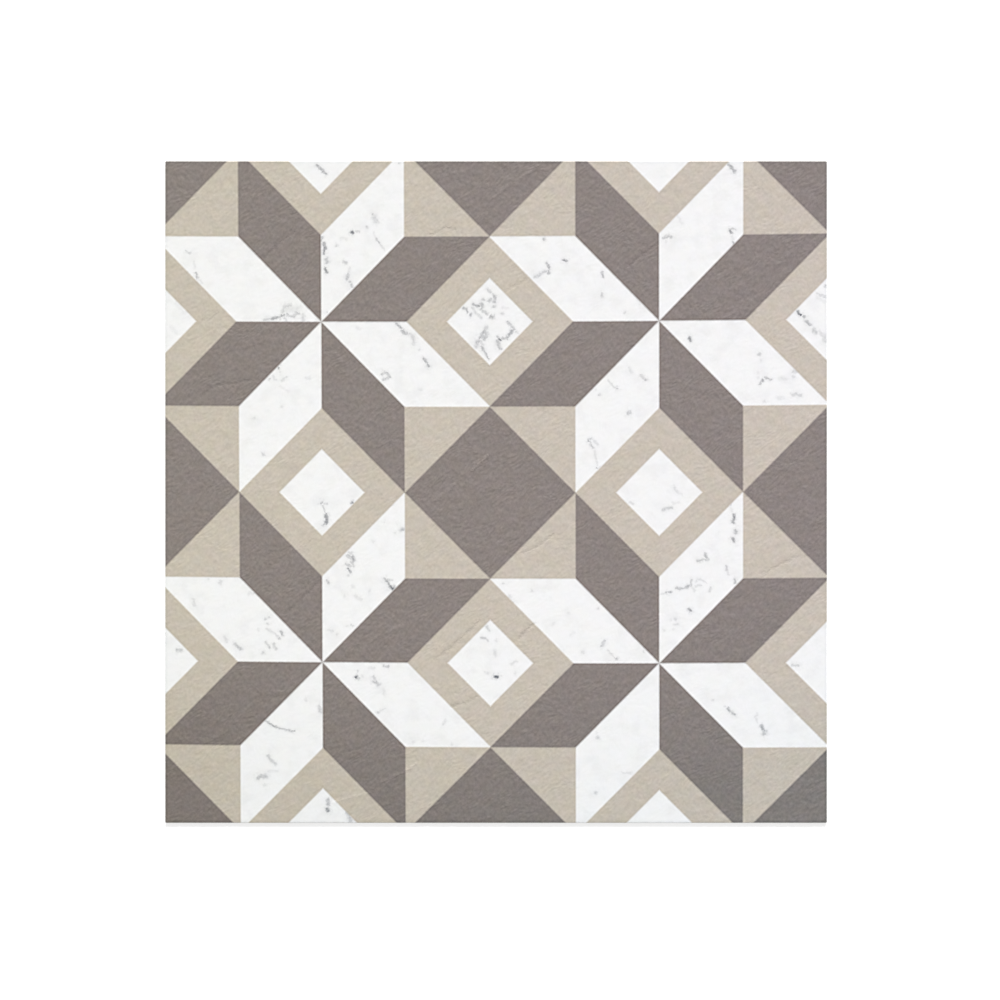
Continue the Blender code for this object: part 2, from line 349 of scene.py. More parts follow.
marble["marks"] = {
    "halfDiamondAboveTopLeftStar": [(0.65, 1.1, (317, 165), (322, 170), (326, 174))],
    "topLeftStarUp": [
        (0.5, 0.9, (322, 237), (322, 240)), (0.8, 1.1, (323.5, 243), (325, 248), (324, 253)),
        (0.5, 1.3, (326.5, 259), (326.5, 263)), (0.75, 1.2, (325, 268), (327, 272)),
        (1.25, 1.2, (351.5, 232), (352.5, 232.5)), (0.35, 1.0, (356, 231.5), (358.5, 231.5)),
        (0.35, 1.2, (336.5, 245.5)), (0.15, 1.2, (341, 238), (346, 239)), (0.35, 1.0, (367, 227)),
        (0.5, 1.2, (373, 214.5)),
        (0.35, 2.0, (374, 216.5), (376, 221.5)), (0.15, 0.8, (373.5, 232), (376, 238)),
        (0.45, 0.8, (376, 238), (379, 243)), (0.25, 0.7, (379, 243), (384, 249)),
        (0.4, 1.1, (344, 261.5), (346, 263)), (0.18, 1.0, (350, 267), (348, 273)),
        (0.5, 1.3, (348, 274), (347, 279)), (0.5, 1.1, (350, 281.5)), (0.45, 1.2, (351.5, 285), (352, 287)),
        (0.3, 0.9, (327, 312)), (0.3, 0.9, (399, 163)),
    ],
    "topLeftStarLeft": [
        (0.35, 0.9, (186, 251), (190, 253)), (0.15, 0.9, (194, 262), (195, 268)),
        (0.6, 0.9, (196, 273), (198, 279)), (0.15, 1.0, (198, 279), (202, 283)),
        (0.35, 1.1, (264, 319.5), (271, 318.5)), (0.6, 1.1, (271, 318.5), (278, 317.5), (284, 314.5)),
        (0.35, 1.6, (283, 312), (284.5, 307), (290, 305.5)), (0.4, 1.1, (293, 308), (295, 311), (299, 313.5)),
        (0.4, 1.1, (287, 313.5), (289, 316.5), (294, 316.5)), (0.3, 1.1, (294, 316.5), (296, 313)),
        (0.3, 1.7, (303, 315), (303, 320)),
        (0.4, 1.1, (280, 319)), (0.3, 1.0, (284, 318), (287, 321)), (0.18, 3.2, (286, 309), (297, 309)),
    ],
    "topLeftStarDown": [
        (0.6, 1.1, (278.5, 368)), (0.2, 0.9, (280.5, 365)), (0.2, 0.9, (280, 372)),
        (0.35, 1.0, (269.5, 379)), (0.22, 1.0, (273, 376.5), (275.5, 380)),
        (0.25, 1.0, (282, 381), (286.5, 377)), (0.1, 1.1, (280, 386), (288, 391)),
        (0.18, 1.6, (307, 378.5), (308.5, 378.5)), (0.2, 1.3, (281.5, 406.5)), (0.2, 1.3, (254, 418)),
        (0.3, 1.0, (262, 453), (264, 455)),
    ],
    "topLeftStarRight": [
        (0.15, 1.0, (356, 327.5), (360, 329)), (0.65, 0.9, (396.5, 323.5), (401, 328)),
        (0.55, 1.5, (403, 331), (406, 333.5)), (0.3, 1.5, (409.5, 334), (413, 337), (414, 343)),
        (0.3, 0.9, (419.5, 349.5)), (0.65, 1.0, (423.5, 358.5), (427, 363.5), (429, 366.5)),
        (0.5, 1.1, (382.5, 374.5), (384.5, 372), (387, 373), (389.5, 376)),
        (0.45, 1.0, (390, 377), (387, 378), (383, 380)), (0.15, 1.1, (420.5, 390)),
    ],
    "topMiddleDiamond": [
        (0.4, 0.9, (487.5, 288.5), (491, 293), (494.5, 296)),
        (0.5, 1.3, (494.5, 296), (495, 299), (494.5, 302)),
        (0.4, 1.4, (483.5, 299.5)), (0.5, 1.1, (488.5, 301), (491, 299.5)),
        (0.7, 0.9, (473.5, 304), (477, 305.5), (480, 306.5)), (0.6, 1.7, (482, 304), (481.5, 307.5)),
        (0.6, 1.0, (463.5, 307.5), (466, 309), (467.5, 311.5)), (0.6, 1.4, (470.5, 315)),
        (0.3, 1.2, (472.5, 307.5), (475, 312), (478.5, 315), (481, 317.5)),
        (0.45, 1.1, (483.5, 311), (487.5, 314)), (0.6, 1.6, (490.5, 316.5), (492, 317)),
        (0.5, 1.2, (494, 306.5)), (0.35, 1.3, (502.5, 313.5)), (0.15, 1.2, (503, 307.5), (508, 308.5)),
        (0.5, 1.0, (507, 321.5), (510.5, 325), (514.5, 330)),
        (0.3, 0.9, (514.5, 330), (518, 333)), (0.65, 1.1, (513.5, 330), (511, 332), (509, 336)),
        (0.6, 1.1, (509, 336), (506.5, 338), (502, 338.5)),
        (0.5, 0.9, (497, 336.5), (500, 339)), (1.4, 1.3, (500, 339.5)),
        (0.5, 1.6, (497.5, 341.5), (499, 346), (500, 348)), (0.45, 1.3, (486.5, 327), (485, 331)),
        (0.6, 1.3, (485, 331), (482, 334.5), (479.5, 338.5)),
        (0.5, 1.4, (485.5, 332), (486.5, 336), (483.5, 339.5)), (0.5, 2.6, (482.5, 336.5)),
        (0.5, 1.3, (479.5, 338.5), (477, 343)), (0.35, 1.6, (477, 344), (476, 346)),
        (0.3, 1.3, (481, 341), (483, 344.5)), (0.5, 1.3, (481.5, 347), (484, 351)),
        (0.5, 0.8, (484.5, 351.5), (486.5, 355), (489, 358.5)),
    ],
    "topRightStarLeft": [
        (0.55, 1.1, (544, 239)), (0.6, 1.0, (547, 263), (549, 267), (549, 272), (548, 274)),
        (0.4, 1.2, (548, 271), (543, 272), (540, 275), (535, 277)),
        (0.75, 1.1, (563.5, 260.5), (566.5, 260.5)),
        (0.55, 1.0, (602, 272), (603, 277)), (0.4, 1.0, (602, 293), (602, 296)),
        (0.35, 1.1, (625, 313)), (0.15, 1.0, (637, 300), (640, 304)),
    ],
    "topRightStarUp": [
        (0.65, 1.3, (728.5, 164), (731, 167), (734.5, 171)), (0.45, 1.3, (664, 238), (668, 236), (672, 237)),
        (0.2, 1.1, (666, 241)), (0.12, 1.0, (678, 217), (682, 223)),
        (0.75, 1.2, (730.5, 230.5), (731.5, 232.5)), (0.45, 0.8, (729, 229), (735, 229.5)),
        (0.15, 1.0, (732, 236), (733, 239)), (0.65, 1.0, (733, 242), (733.5, 243.5)),
    ],
    "topRightStarRight": [
        (0.9, 1.0, (689.5, 338), (690.5, 340)), (0.4, 1.6, (759.5, 354)),
        (0.15, 1.3, (761, 360.5)), (0.15, 1.2, (758, 372.5)), (0.15, 1.4, (758.5, 377.5)),
        (0.85, 1.3, (762.5, 380.5)), (0.5, 0.9, (762, 381), (759.5, 384)),
        (0.25, 1.2, (764.5, 401.5)), (0.15, 1.4, (778, 397.5), (783, 398)),
        (0.5, 0.9, (765, 377.5), (768, 379), (771.5, 379.5)), (0.15, 1.2, (779.5, 378), (787, 379)),
        (0.35, 1.2, (792.5, 372), (796.5, 371)), (0.35, 1.1, (794, 377)),
        (0.35, 1.1, (792, 394.5), (796, 394), (801, 395.5)),
    ],
    "topRightStarDown": [
        (0.2, 1.2, (628.5, 368), (631.5, 371.5)), (0.3, 1.0, (641, 375), (645.5, 379.5)),
        (0.55, 1.4, (645.5, 379.5)), (0.25, 0.8, (608.5, 380.5), (613, 385.5), (616, 388)),
        (0.75, 1.1, (616.5, 388)), (0.15, 1.2, (595.5, 389.5)), (0.4, 1.0, (599.5, 394.5)),
        (0.5, 1.6, (629, 413)), (0.75, 1.3, (589, 441)), (0.45, 0.8, (588.5, 439.5), (591.5, 438.5)),
        (0.4, 0.9, (589.5, 441), (591, 444.5), (593, 448)), (0.45, 1.1, (593, 447.5)),
        (0.22, 0.8, (592, 439), (595, 441.5), (598, 444.5)),
        (0.2, 0.8, (594, 451), (596, 459), (597.5, 466)), (0.6, 1.2, (597.5, 467.5)),
    ],
    "halfDiamondRightOfTopRightStar": [
        (0.8, 1.0, (797.5, 311), (800, 314.5)), (1.1, 1.2, (801, 315)), (0.7, 1.2, (804, 316.5)),
        (0.55, 1.1, (806, 321), (810, 325)), (0.45, 1.7, (813.5, 330), (816, 332)),
        (0.25, 1.7, (820, 332), (824, 336), (825, 341)), (0.3, 1.1, (817.5, 293.5), (825, 297)),
        (0.12, 1.3, (817, 297), (825, 302)), (0.4, 1.2, (825, 286)),
    ],
    "leftMiddleDiamond": [
        (0.85, 1.2, (322.5, 503)), (0.3, 0.9, (323.5, 503.5), (327, 504)),
        (0.4, 0.7, (323, 505.5), (325.5, 514)), (0.8, 1.2, (325.5, 514), (327, 519), (326, 523.5)),
        (0.5, 0.9, (326, 523.5), (323, 525)), (0.95, 1.1, (352.5, 503)),
    ],
    "rightMiddleDiamond": [
        (0.22, 1.1, (674, 487), (678, 493)), (0.15, 1.1, (678, 493), (682, 494.5)),
        (0.4, 1.4, (663.5, 510.5), (666.5, 508), (671.5, 508)), (0.15, 1.0, (673, 503), (679.5, 502.5)),
        (0.25, 1.1, (630, 502), (632.5, 503.5)),
    ],
    "halfDiamondLeftOfBottomLeftStar": [(0.45, 1.4, (177.5, 650), (180.5, 650))],
    "bottomLeftStarLeft": [
        (0.35, 1.5, (220, 582.5)), (0.15, 1.2, (208.5, 579)), (0.25, 1.4, (193.5, 600), (194, 605)),
        (0.2, 1.0, (248.5, 594), (250.5, 593), (253, 593.5)), (0.4, 1.2, (265, 619)),
        (0.4, 1.2, (269.5, 617.5)), (0.3, 1.2, (268, 624)),
        (0.25, 0.9, (266.5, 628.5), (273.5, 633), (278.5, 637)), (0.6, 1.2, (279, 637.5)),
        (0.6, 1.1, (281, 631.5), (282, 634.5)), (0.15, 1.2, (258.5, 629.5)),
        (0.22, 1.2, (225, 637), (227, 642)), (0.45, 1.3, (235, 644), (238, 646.5), (241, 649)),
        (0.3, 0.8, (265.5, 642), (269.5, 647)), (0.5, 1.2, (269.5, 647.5)),
        (0.4, 1.2, (273.5, 644.5), (276, 649)), (0.35, 1.4, (263, 652)),
    ],
    "bottomLeftStarUp": [
        (0.15, 1.2, (384.5, 522)), (0.5, 1.4, (401, 530), (403, 529.5)), (0.18, 1.3, (395, 532.5)),
        (0.18, 1.3, (373.5, 542)), (0.4, 1.2, (348.5, 553), (351, 553)),
        (0.45, 1.3, (347.5, 555), (351.5, 558.5)), (0.7, 1.4, (352.5, 557), (353.5, 561)),
        (0.45, 1.2, (351.5, 561.5), (353, 565)), (0.45, 1.3, (346, 563.5), (350, 566)),
        (0.75, 1.1, (348.5, 569), (350.5, 572)), (0.25, 1.1, (348, 575.5)),
        (0.5, 1.1, (327, 580), (328.5, 583.5)), (0.2, 1.7, (353, 586.5)), (0.18, 1.5, (369.5, 591.5)),
        (0.15, 1.3, (344.5, 596)), (0.2, 1.3, (355, 595.5), (361, 599)),
        (0.65, 1.2, (385, 579), (388, 582.5), (390, 586)), (0.95, 1.5, (390, 586), (393, 588.5)),
        (0.35, 0.8, (388, 580), (392.5, 580.5)), (0.4, 1.2, (352.5, 625.5)), (0.15, 1.2, (347, 626)),
        (0.2, 1.2, (329, 630.5), (332.5, 631.5)), (0.22, 1.2, (337, 634.5)),
    ],
    "bottomLeftStarDown": [
        (0.6, 0.8, (267, 721.5), (271, 724.5), (276.5, 727.5)),
        (0.45, 0.7, (276.5, 727.5), (283, 729), (288, 730)),
        (0.55, 0.8, (286, 729.5), (290, 730.5), (294.5, 731)), (0.22, 1.4, (306, 699.5)),
        (0.35, 1.2, (319, 705.5), (320.5, 712)), (0.35, 1.2, (268, 755.5), (271, 760), (275.5, 764.5)),
        (0.45, 1.5, (257.5, 778), (260, 776), (266, 776.5)), (0.35, 1.3, (266, 777)),
        (0.12, 0.9, (268, 771), (278, 771)),
        (0.2, 1.4, (265, 785)),
    ],
    "bottomLeftStarRight": [
        (1.0, 1.3, (356.5, 677)), (0.4, 0.9, (357.5, 677.5), (359, 679)), (0.15, 1.0, (353.5, 677)),
        (0.3, 1.1, (357.5, 671)), (0.22, 1.0, (362, 676)), (0.2, 1.2, (370, 668), (374, 668)),
        (0.45, 1.1, (384.5, 666), (388, 666.5)), (0.35, 1.2, (373.5, 676.5), (375, 680)),
        (0.5, 1.5, (374, 681.5), (376.5, 682.5), (378, 684.5)), (0.15, 1.3, (383.5, 690), (384.5, 694.5)),
        (0.4, 1.1, (378.5, 712.5)), (0.2, 0.8, (380, 711), (385, 708.5)),
        (0.22, 1.2, (443, 725), (445, 720.5)), (0.15, 1.2, (413, 741.5)), (0.15, 1.2, (423, 740.5)),
        (0.22, 1.1, (452, 744.5)),
    ],
    "halfDiamondBelowBottomLeftStar": [
        (0.55, 1.5, (328.5, 800), (328, 804)), (0.7, 1.3, (327, 808.5), (328, 811)),
        (0.5, 1.6, (348, 812), (350.5, 820)),
    ],
    "bottomMiddleDiamond": [
        (1.1, 1.2, (495, 676.5), (498, 676.5)), (0.2, 1.1, (485, 672), (488, 673)),
        (0.35, 1.0, (486.5, 626), (489, 630.5)), (0.45, 1.0, (481.5, 637.5), (487.5, 640)),
        (0.2, 1.1, (496.5, 640.5)), (0.2, 1.2, (494, 650), (495.5, 656)),
        (0.2, 1.1, (511.5, 664), (516.5, 661)), (0.15, 1.3, (515.5, 673)),
    ],
    "bottomRightStarLeft": [
        (0.25, 1.1, (503, 583.5)), (0.25, 1.1, (532, 591)), (0.2, 1.1, (508.5, 595.5), (512, 600)),
        (0.4, 1.1, (513, 602)), (0.15, 1.3, (553.5, 624)), (0.15, 1.3, (568.5, 612.5)),
        (0.12, 1.3, (571, 635.5), (573.5, 632.5)), (0.45, 1.2, (602, 645.5), (604.5, 640.5)),
        (0.3, 1.0, (598, 608)), (0.25, 1.4, (583, 652.5)),
        (0.25, 0.8, (608, 650), (611.5, 654.5), (616, 659)), (0.6, 1.2, (616.5, 659)),
        (0.3, 1.0, (644, 651.5)),
    ],
    "bottomRightStarUp": [
        (0.3, 1.3, (731, 505)), (0.15, 1.0, (730.5, 508), (732.5, 512)),
        (0.8, 1.2, (733.5, 514.5), (734, 518), (733, 522.5)), (0.55, 1.2, (735.5, 530), (736, 533)),
        (0.75, 1.3, (733, 538.5), (734.5, 541.5)), (0.45, 1.0, (697.5, 561), (702, 560), (708, 559)),
        (0.55, 1.0, (705, 553.5), (706.5, 558)), (0.4, 1.1, (726, 566), (727, 570)),
        (0.3, 0.9, (727, 570), (728, 574)), (0.5, 1.1, (735, 580), (735, 583.5)),
        (0.2, 0.8, (660.5, 594), (666.5, 593.5)), (0.6, 1.0, (666.5, 592.5), (671, 592)),
        (0.55, 1.0, (676.5, 588.5), (683, 588.5), (690, 585.5)), (0.4, 0.9, (691.5, 580), (690.5, 586)),
        (0.2, 0.9, (692, 587), (695, 591)), (0.2, 0.8, (695.5, 582), (698, 579), (701.5, 579.5), (706, 583)),
        (0.25, 0.9, (695.5, 586), (701, 585.5)), (0.3, 1.0, (711, 587.5), (709, 591.5)),
        (0.9, 1.1, (689.5, 609.5), (690.5, 611)), (0.35, 1.2, (676, 619)), (0.15, 1.0, (671, 620)),
        (0.25, 1.1, (674, 624.5), (677, 624)), (0.15, 1.1, (673.5, 629.5)), (0.15, 1.1, (664, 630.5)),
    ],
    "bottomRightStarDown": [
        (0.35, 1.5, (598, 737.5)), (0.15, 1.0, (596.5, 733)), (0.35, 1.5, (595.5, 793)),
        (0.15, 1.0, (622, 772.5), (631, 773)),
    ],
    "bottomRightStarRight": [
        (0.22, 1.3, (713, 700)), (0.2, 1.0, (725, 706.5)),
        (0.6, 1.1, (727.5, 708.5), (730.5, 711.5), (734.5, 714.5)),
        (0.2, 1.0, (754.5, 717.5), (757, 714.5)), (0.2, 1.0, (755.5, 718), (757, 721.5)),
        (0.6, 1.1, (761, 725.5), (763, 729.5), (764, 731)), (0.65, 1.6, (764.5, 733)),
        (0.4, 1.1, (766.5, 732.5), (767, 731)),
    ],
    "halfDiamondLeftOfTopLeftStar": [
        (0.12, 1.3, (176, 303), (180, 308), (186, 313)), (0.1, 1.4, (171, 327), (176, 333)),
    ],
    "halfDiamondRightOfBottomRightStar": [(0.35, 1.1, (792.5, 665), (798.5, 665.5))],
}


def straightPieces(points):
    # start, unit direction and length of each straight piece of a stroke; a single point is a dot
    places = [onTile(point) for point in points]
    for start, end in zip(places, places[1:] or places):
        length = np.hypot(*(end - start))
        yield start, (end - start) / length if length else np.array((1.0, 0.0)), length


def besidePiece(start, direction, x, y):
    # places as lengths along a straight piece and across it
    x, y = x - start[0], y - start[1]
    return x * direction[0] + y * direction[1], y * direction[0] - x * direction[1]


def distanceTo(start, direction, length, x, y):
    along, across = besidePiece(start, direction, x, y)
    return np.hypot(along - np.clip(along, 0, length), across)


def cornerCentre(direction):
    # the middle of the rounded corner on that side of the tile
    return Vector((
        math.copysign(slab["halfWidth"] - slab["cornerRadius"], direction.x),
        math.copysign(slab["halfLength"] - slab["cornerRadius"], direction.y),
        0.0,
    ))


def trimToOutline(wear):
    # cuts the sheet to the flat part of the wear face, inside the rolled edge
    radius = slab["cornerRadius"] - slab["arris"]
    turns = 4 * slab["cornerCuts"]
    # the four sides come first
    for turn in sorted(range(turns), key=lambda turn: turn % slab["cornerCuts"]):
        angle = math.tau * turn / turns
        outward = Vector((round(math.cos(angle), 9), round(math.sin(angle), 9), 0.0))
        bmesh.ops.bisect_plane(
            wear,
            geom=wear.verts[:] + wear.edges[:] + wear.faces[:],
            dist=slab["onCut"],
            plane_co=cornerCentre(outward) + outward * radius,
            plane_no=outward,
            clear_outer=True,
        )
    border = [vert for vert in wear.verts if vert.is_boundary]
    bmesh.ops.remove_doubles(wear, verts=border, dist=slab["weld"])


def rippleAt(x, y):
    # height of the slate's ripples at a place, in metres about the mean face
    angle = math.radians(
        emboss["grainAngle"]
        + emboss["turnAlongY"] * y / slab["halfLength"]
        + emboss["turnAlongX"] * x / slab["halfWidth"]
    )
    along = x * math.cos(angle) + y * math.sin(angle)
    across = y * math.cos(angle) - x * math.sin(angle)
    slices = emboss["slices"]
    swayLength, sway = emboss["sway"]
    across += sway * noise.noise(Vector((x / swayLength, y / swayLength, slices["sway"])))
    patch = 0.5 + 0.5 * noise.noise(Vector((x / emboss["patch"], y / emboss["patch"], slices["patch"])))
    height = 0.0
    for name in ("ripple", "fineRipple"):
        length, width, tall = emboss[name]
        place = Vector((along / length, across / width, slices[name]))
        height += tall * (emboss["calmest"] + patch) * noise.noise(place)
    length, width, tall = emboss["cleft"]
    layerEdge = noise.noise(Vector((along / length, across / width, slices["cleft"])))
    return height + tall * (0.5 - abs(layerEdge))


def pressEmboss(wear):
    # presses the ripples and creases in, each ink's fields to their own depth, the highest ripple at the top
    x = np.array([vert.co.x for vert in wear.verts])
    y = np.array([vert.co.y for vert in wear.verts])
    height = np.array([rippleAt(*place) for place in zip(x, y)])
    for depth, *points in (crease for part in emboss["creases"].values() for crease in part):
        gap = np.min([distanceTo(*piece, x, y) for piece in straightPieces(points)], axis=0)
        height -= depth * mm * np.exp(-(2 * gap / emboss["creaseWidth"]) ** 2)
    shares = inkShares(x, y, emboss["depthEdge"])
    height *= sum(share * emboss["depths"][ink] for ink, share in shares.items())
    for vert, lift in zip(wear.verts, height - height.max()):
        vert.co.z = slabHigh.z + lift
    print("embossed, deepest", round(float(height.max() - height.min()) / mm, 3), "mm")


def rollEdge(wear):
    # rolls the face's border over the arris, drops it to the floor and closes the back
    inner = slab["cornerRadius"] - slab["arris"]
    straight = [slab[half] - slab["cornerRadius"] for half in ("halfWidth", "halfLength")]
    border = [edge for edge in wear.edges if edge.is_boundary]
    swing = 0.0
    for step in range(1, slab["arcSteps"] + 2):
        made = bmesh.ops.extrude_edge_only(wear, edges=border)["geom"]
        border = [item for item in made if isinstance(item, bmesh.types.BMEdge) and item.is_boundary]
        lastSwing = swing
        swing = math.radians(90) * min(step / slab["arcSteps"], 1)
        drop = slab["arris"] * (math.cos(lastSwing) - math.cos(swing))
        for vert in {vert for edge in border for vert in edge.verts}:
            centre = Vector([max(-far, min(far, value)) for value, far in zip(vert.co.xy, straight)])
            outward = (vert.co.xy - centre).normalized()
            reach = centre + outward * (inner + slab["arris"] * math.sin(swing))
            height = vert.co.z - drop if step <= slab["arcSteps"] else slabLow.z
            vert.co = (reach.x, reach.y, height)
    bmesh.ops.holes_fill(wear, edges=border, sides=0)
    bmesh.ops.recalc_face_normals(wear, faces=wear.faces)


def shapeTile():
    wear = bmesh.new()
    reach = 2 * math.hypot(slab["halfWidth"], slab["halfLength"])
    bmesh.ops.create_grid(
        wear,
        x_segments=round(reach / emboss["step"]),
        y_segments=round(reach / emboss["step"]),
        size=reach / 2,
        matrix=Matrix.Rotation(math.radians(emboss["grainAngle"]), 4, "Z"),
    )
    trimToOutline(wear)
    pressEmboss(wear)
    rollEdge(wear)
    for face in wear.faces:
        face.material_index = 0 if face.normal.z > slab["printedFrom"] else 1
    mesh = bpy.data.meshes.new("embossed_tile")
    wear.to_mesh(mesh)
    wear.free()
    mesh.shade_smooth()
    mesh.set_sharp_from_angle(angle=math.radians(slab["sharpFrom"]))
    print("tile shaped:", len(mesh.polygons), "faces")
    return mesh


def numbersOf(items, name, width=1):
    # one property of many mesh elements as an array, with a row for each element
    values = np.empty(len(items) * width, dtype=np.float32)
    items.foreach_get(name, values)
    return values.reshape(-1, width)


def cornersOf(mesh):
    # for every corner of every face: its face, and its place
    sizes = numbersOf(mesh.polygons, "loop_total")[:, 0].astype(int)
    owner = np.repeat(np.arange(len(mesh.polygons)), sizes)
    vertex = numbersOf(mesh.loops, "vertex_index")[:, 0].astype(int)
    return owner, numbersOf(mesh.vertices, "co", 3)[vertex]


def drawMarks(mesh):
    # Each face takes the marble stroke or crease that is nearest to it. Its corners hold their places along
    # and across that stroke, so the material can draw a stroke that is finer than the mesh. With them go
    # the ink or depth, half the breadth, and a 1 for marble or a 0 for a crease.
    strokes = [
        (piece, breadth * mm / 2, ink, 1.0)
        for field in marble["marks"].values()
        for ink, breadth, *points in field
        for piece in straightPieces(points)
    ]
    strokes += [
        (piece, emboss["creaseLine"][0] / 2, depth, 0.0)
        for part in emboss["creases"].values()
        for depth, *points in part
        for piece in straightPieces(points)
    ]
    middle = numbersOf(mesh.polygons, "center", 3)
    facing = numbersOf(mesh.polygons, "normal", 3)
    nearest = np.where(facing[:, 2] > slab["printedFrom"], marble["reach"], -1.0)
    chosen = np.full(len(middle), -1)
    for index, (piece, halfBreadth, *look) in enumerate(strokes):
        gap = distanceTo(*piece, middle[:, 0], middle[:, 1]) - halfBreadth
        closer = gap < nearest
        nearest[closer] = gap[closer]
        chosen[closer] = index
    owner, place = cornersOf(mesh)
    where = np.zeros((len(owner), 3), dtype=np.float32)
    what = np.zeros((len(owner), 3), dtype=np.float32)
    for index, ((start, direction, length), halfBreadth, ink, inMarble) in enumerate(strokes):
        corners = np.flatnonzero(chosen[owner] == index)
        where[corners, 0], where[corners, 1] = besidePiece(start, direction, *place[corners, :2].T)
        where[corners, 2] = length
        what[corners] = ink, halfBreadth, inMarble
    for name, values in (("strokePlace", where), ("strokeInk", what)):
        mesh.attributes.new(name, "FLOAT_VECTOR", "CORNER").data.foreach_set("vector", values.ravel())
    print("marks drawn:", len(strokes), "straight pieces")


# Where the parts of the tile lie in its one UV map
layout = {
    "wear": (0.008, 0.84),  # start and size of the wear face, with its rolled edge
    "rimStretch": 3.0,  # the rolled edge is drawn this much wider than it is
    "strips": (0.862, 0.005, 0.009),  # start, height and spacing of the four sides
    "stripHalf": 0.48,  # from a strip's middle to its ends
    "back": (0.862, 0.13),  # start and size; it starts as high as the wear face does
    "leastRadius": 1e-9,  # stands in for a radius of 0, which can't be divided by
}


def unwrapTile(mesh):
    owner, place = cornersOf(mesh)
    facing = numbersOf(mesh.polygons, "normal", 3)[owner]
    half = np.array((slab["halfWidth"], slab["halfLength"]))
    flat = place[:, :2]
    # the wear face lies flat, and the rolled edge is rolled out round it
    centre = np.clip(flat, slab["cornerRadius"] - half, half - slab["cornerRadius"])
    away = flat - centre
    radius = np.maximum(np.hypot(*away.T), layout["leastRadius"])[:, None]
    inner = slab["cornerRadius"] - slab["arris"]
    turn = np.arcsin(np.clip((radius - inner) / slab["arris"], 0, 1))
    rolledOut = np.where(radius > inner, inner + layout["rimStretch"] * slab["arris"] * turn, radius)
    start, size = layout["wear"]
    whole = half + slab["arris"] * (layout["rimStretch"] * math.pi / 2 - 1)
    uv = start + size * (centre + away / radius * rolledOut + whole) / (2 * whole)
    # each side is a strip along its own edge
    start, tall, spacing = layout["strips"]
    side = facing[:, 2] < slab["printedFrom"]
    quarter = np.argmax(np.stack((facing[:, 0], facing[:, 1], -facing[:, 0], -facing[:, 1])), axis=0)
    along = np.where(quarter % 2 == 0, flat[:, 1] / half[1], flat[:, 0] / half[0])
    strip = np.stack((
        0.5 + layout["stripHalf"] * along,
        start + spacing * quarter + tall * (place[:, 2] - slabLow.z) / (slabHigh.z - slabLow.z),
    ), axis=1)
    uv = np.where(side[:, None], strip, uv)
    # the back lies beside the wear face
    corner = (layout["back"][0], layout["wear"][0])
    back = facing[:, 2] < -slab["printedFrom"]
    uv = np.where(back[:, None], corner + layout["back"][1] * (flat + half) / (2 * half), uv)
    mesh.uv_layers.new(name="OFBake").data.foreach_set("uv", uv.astype(np.float32).ravel())


def undoDrift(tree, place):
    # where each place of the tile lies in the even print
    share = addNode(tree, "ShaderNodeVectorMath", "DIVIDE",
                    [place, (slab["halfWidth"], slab["halfLength"], 1)])
    share = addNode(tree, "ShaderNodeSeparateXYZ", None, [share])
    share = {"whole": 1.0, "across": share.outputs["X"], "up": share.outputs["Y"]}
    for (first, second), (right, up) in pattern["drift"].items():
        strayed = addNode(tree, "ShaderNodeMath", "MULTIPLY", [share[first], share[second]])
        place = addNode(tree, "ShaderNodeVectorMath", "MULTIPLY_ADD", [strayed, (-right, -up, 0), place])
    return place


def foldPattern(tree, place):
    # folds every place into one quarter of one star, and measures it against each border of the print
    starHalf, frameHalf, squareHalf = pattern["starHalf"], pattern["frameHalf"], pattern["squareHalf"]
    halfPitch = pattern["halfPitch"]
    near = addNode(tree, "ShaderNodeVectorMath", "SUBTRACT", [place, (*pattern["starCentre"], 0)])
    near = addNode(tree, "ShaderNodeVectorMath", "WRAP",
                   [near, (*halfPitch, 1), (-halfPitch[0], -halfPitch[1], -1)])
    size = addNode(tree, "ShaderNodeVectorMath", "ABSOLUTE", [near])
    near = addNode(tree, "ShaderNodeSeparateXYZ", None, [near])
    steps = addNode(tree, "ShaderNodeVectorMath", "DIVIDE", [size, (*starHalf, 1)])
    steps = addNode(tree, "ShaderNodeSeparateXYZ", None, [steps])
    least = addNode(tree, "ShaderNodeMath", "MINIMUM", [steps, steps.outputs["Y"]])
    lean = addNode(tree, "ShaderNodeMath", "SUBTRACT", [steps, steps.outputs["Y"]])
    # the star's points are dark and white by turns, so the side of each of its lines counts
    turn = addNode(tree, "ShaderNodeMath", "MULTIPLY", [near, near.outputs["Y"]])
    turn = addNode(tree, "ShaderNodeMath", "MULTIPLY", [turn, lean])
    turn = addNode(tree, "ShaderNodeMath", "SIGN", [turn])
    apart = addNode(tree, "ShaderNodeMath", "ABSOLUTE", [lean])
    apart = addNode(tree, "ShaderNodeMath", "MULTIPLY", [apart, pattern["slant"]])
    inside = addNode(tree, "ShaderNodeMath", "MINIMUM", [apart, least])
    point = addNode(tree, "ShaderNodeMath", "MULTIPLY", [turn, inside])
    # from the nearer of two frames' centres, 0 at the frame's outside and 1 at its centre
    lean = addNode(tree, "ShaderNodeVectorMath", "DOT_PRODUCT",
                   [size, (1 / frameHalf[0], -1 / frameHalf[1], 0)]).outputs["Value"]
    toRight = addNode(tree, "ShaderNodeMath", "SUBTRACT", [halfPitch[0] / frameHalf[0], lean])
    toTop = addNode(tree, "ShaderNodeMath", "ADD", [halfPitch[1] / frameHalf[1], lean])
    framed = addNode(tree, "ShaderNodeMath", "MINIMUM", [toRight, toTop])
    framed = addNode(tree, "ShaderNodeMath", "SUBTRACT", [1.0, framed])
    square = addNode(tree, "ShaderNodeVectorMath", "DOT_PRODUCT",
                     [size, (1 / squareHalf[0], 1 / squareHalf[1], 0)]).outputs["Value"]
    return {"point": point, "least": least, "frame": framed, "square": square}


